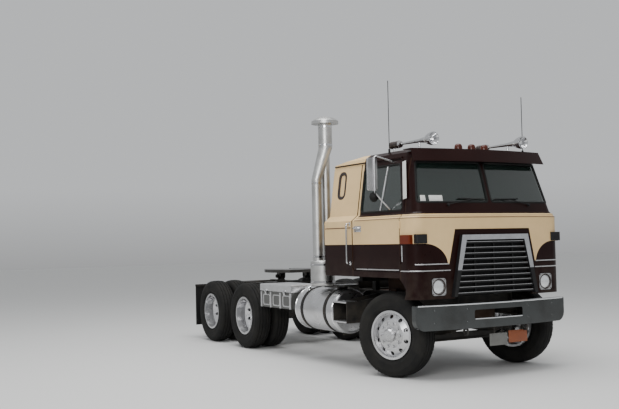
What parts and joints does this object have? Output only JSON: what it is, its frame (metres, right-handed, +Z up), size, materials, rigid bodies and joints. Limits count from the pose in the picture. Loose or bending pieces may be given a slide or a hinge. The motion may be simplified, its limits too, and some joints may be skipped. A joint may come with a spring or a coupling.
{
  "type": "semi truck tractor unit",
  "caption": "Cab-over tractor unit with sleeper: three axles, tilting cab, opening doors, steered front wheels, fifth wheel for a trailer.",
  "frame": {"origin": "on the ground under the middle of the tractor's bounding box", "axes": "+X forward, +Y to the tractor's left, +Z up"},
  "size_m": [6.84, 2.715, 3.7],
  "materials": {
    "cream_paint": "gloss",
    "maroon_paint": "gloss",
    "frame_black": "satin",
    "engine_paint": "satin",
    "chrome": "polished",
    "bright_metal": "brushed",
    "stack_metal": "dull",
    "cast_steel": "rough",
    "greased_steel": "greasy",
    "tyre": "matte",
    "black_rubber": "matte",
    "window_glass": "clear",
    "lamp_glass": "ribbed",
    "amber_lens": "glossy",
    "red_lens": "glossy",
    "brown_vinyl": "satin",
    "mattress_cloth": "matte",
    "cab_trim": "matte"
  },
  "bodies": {
    "chassis": {"frame_rails": "frame_black", "front_axle_beam": "cast_steel", "leaf_springs": "frame_black", "walking_beams": "cast_steel", "drive_axles": "cast_steel", "engine_block": "engine_paint", "radiator": "frame_black", "front_bumper": "chrome", "fuel_tanks": "bright_metal", "tank_brackets": "frame_black", "battery_box": "bright_metal", "intake_stack": "stack_metal", "exhaust_muffler": "stack_metal", "fifth_wheel_base": "frame_black", "mud_flaps": "black_rubber", "tail_lamps": "red_lens"},
    "cab": {"cab_body": "maroon_paint", "sleeper_box": "cream_paint", "cab_roof": "maroon_paint", "cab_glass": "window_glass", "cab_floor": "cab_trim", "grille_surround": "chrome", "grille_bars": "bright_metal", "headlamp_bezels": "chrome", "headlamp_lenses": "lamp_glass", "marker_lamps": "amber_lens", "sun_visor": "maroon_paint", "air_horns": "chrome", "antennas": "bright_metal", "seats": "brown_vinyl", "bunk_mattress": "mattress_cloth", "dashboard": "cab_trim", "steering_wheel": "cab_trim"},
    "right_door": {"door_right": "cream_paint", "door_glass_right": "window_glass", "mirror_right": "bright_metal"},
    "left_door": {"door_left": "cream_paint", "door_glass_left": "window_glass", "mirror_left": "bright_metal"},
    "right_knuckle": {"knuckle_right": "cast_steel"},
    "left_knuckle": {"knuckle_left": "cast_steel"},
    "fifth_wheel": {"fifth_wheel_plate": "greased_steel"},
    "front_wheel_right": {"front_tyre_right": "tyre", "front_rim_right": "bright_metal"},
    "front_wheel_left": {"front_tyre_left": "tyre", "front_rim_left": "bright_metal"},
    "fore_wheels_right": {"fore_tyres_right": "tyre", "fore_rims_right": "bright_metal"},
    "fore_wheels_left": {"fore_tyres_left": "tyre", "fore_rims_left": "bright_metal"},
    "rear_wheels_right": {"rear_tyres_right": "tyre", "rear_rims_right": "bright_metal"},
    "rear_wheels_left": {"rear_tyres_left": "tyre", "rear_rims_left": "bright_metal"}
  },
  "joints": [
    {"name": "cab_tilt", "type": "hinge", "parent": "chassis", "child": "cab", "pos_m": [3.24, 0, 1.1], "axis": [0, 1, 0], "range_deg": [0, 70]},
    {"name": "right_door_hinge", "type": "hinge", "parent": "cab", "child": "right_door", "pos_m": [3.023, -1.172, 1.8], "axis": [0, 0, 1], "range_deg": [0, 70]},
    {"name": "left_door_hinge", "type": "hinge", "parent": "cab", "child": "left_door", "pos_m": [3.023, 1.172, 1.8], "axis": [0, 0, 1], "range_deg": [-70, 0]},
    {"name": "right_steer", "type": "hinge", "parent": "chassis", "child": "right_knuckle", "pos_m": [2.62, -0.86, 0.52], "axis": [0, 0, 1], "range_deg": [-56, 20]},
    {"name": "left_steer", "type": "hinge", "parent": "chassis", "child": "left_knuckle", "pos_m": [2.62, 0.86, 0.52], "axis": [0, 0, 1], "range_deg": [-56, 20]},
    {"name": "front_wheel_right_spin", "type": "hinge", "parent": "right_knuckle", "child": "front_wheel_right", "pos_m": [2.66944, -1.01217, 0.52], "axis": [-0.309, 0.9511, 0], "continuous": true},
    {"name": "front_wheel_left_spin", "type": "hinge", "parent": "left_knuckle", "child": "front_wheel_left", "pos_m": [2.57056, 1.01217, 0.52], "axis": [-0.309, 0.9511, 0], "continuous": true},
    {"name": "fore_wheels_right_spin", "type": "hinge", "parent": "chassis", "child": "fore_wheels_right", "pos_m": [-1.32, -1.075, 0.52], "axis": [0, 1, 0], "continuous": true},
    {"name": "fore_wheels_left_spin", "type": "hinge", "parent": "chassis", "child": "fore_wheels_left", "pos_m": [-1.32, 1.075, 0.52], "axis": [0, 1, 0], "continuous": true},
    {"name": "rear_wheels_right_spin", "type": "hinge", "parent": "chassis", "child": "rear_wheels_right", "pos_m": [-2.62, -1.075, 0.52], "axis": [0, 1, 0], "continuous": true},
    {"name": "rear_wheels_left_spin", "type": "hinge", "parent": "chassis", "child": "rear_wheels_left", "pos_m": [-2.62, 1.075, 0.52], "axis": [0, 1, 0], "continuous": true},
    {"name": "fifth_wheel_rock", "type": "hinge", "parent": "chassis", "child": "fifth_wheel", "pos_m": [-1.79, 0, 1.11], "axis": [0, 1, 0], "range_deg": [-12, 12]}
  ],
  "couplings": [
    {"joint": "left_steer", "follows": "right_steer", "ratio": 1}
  ]
}
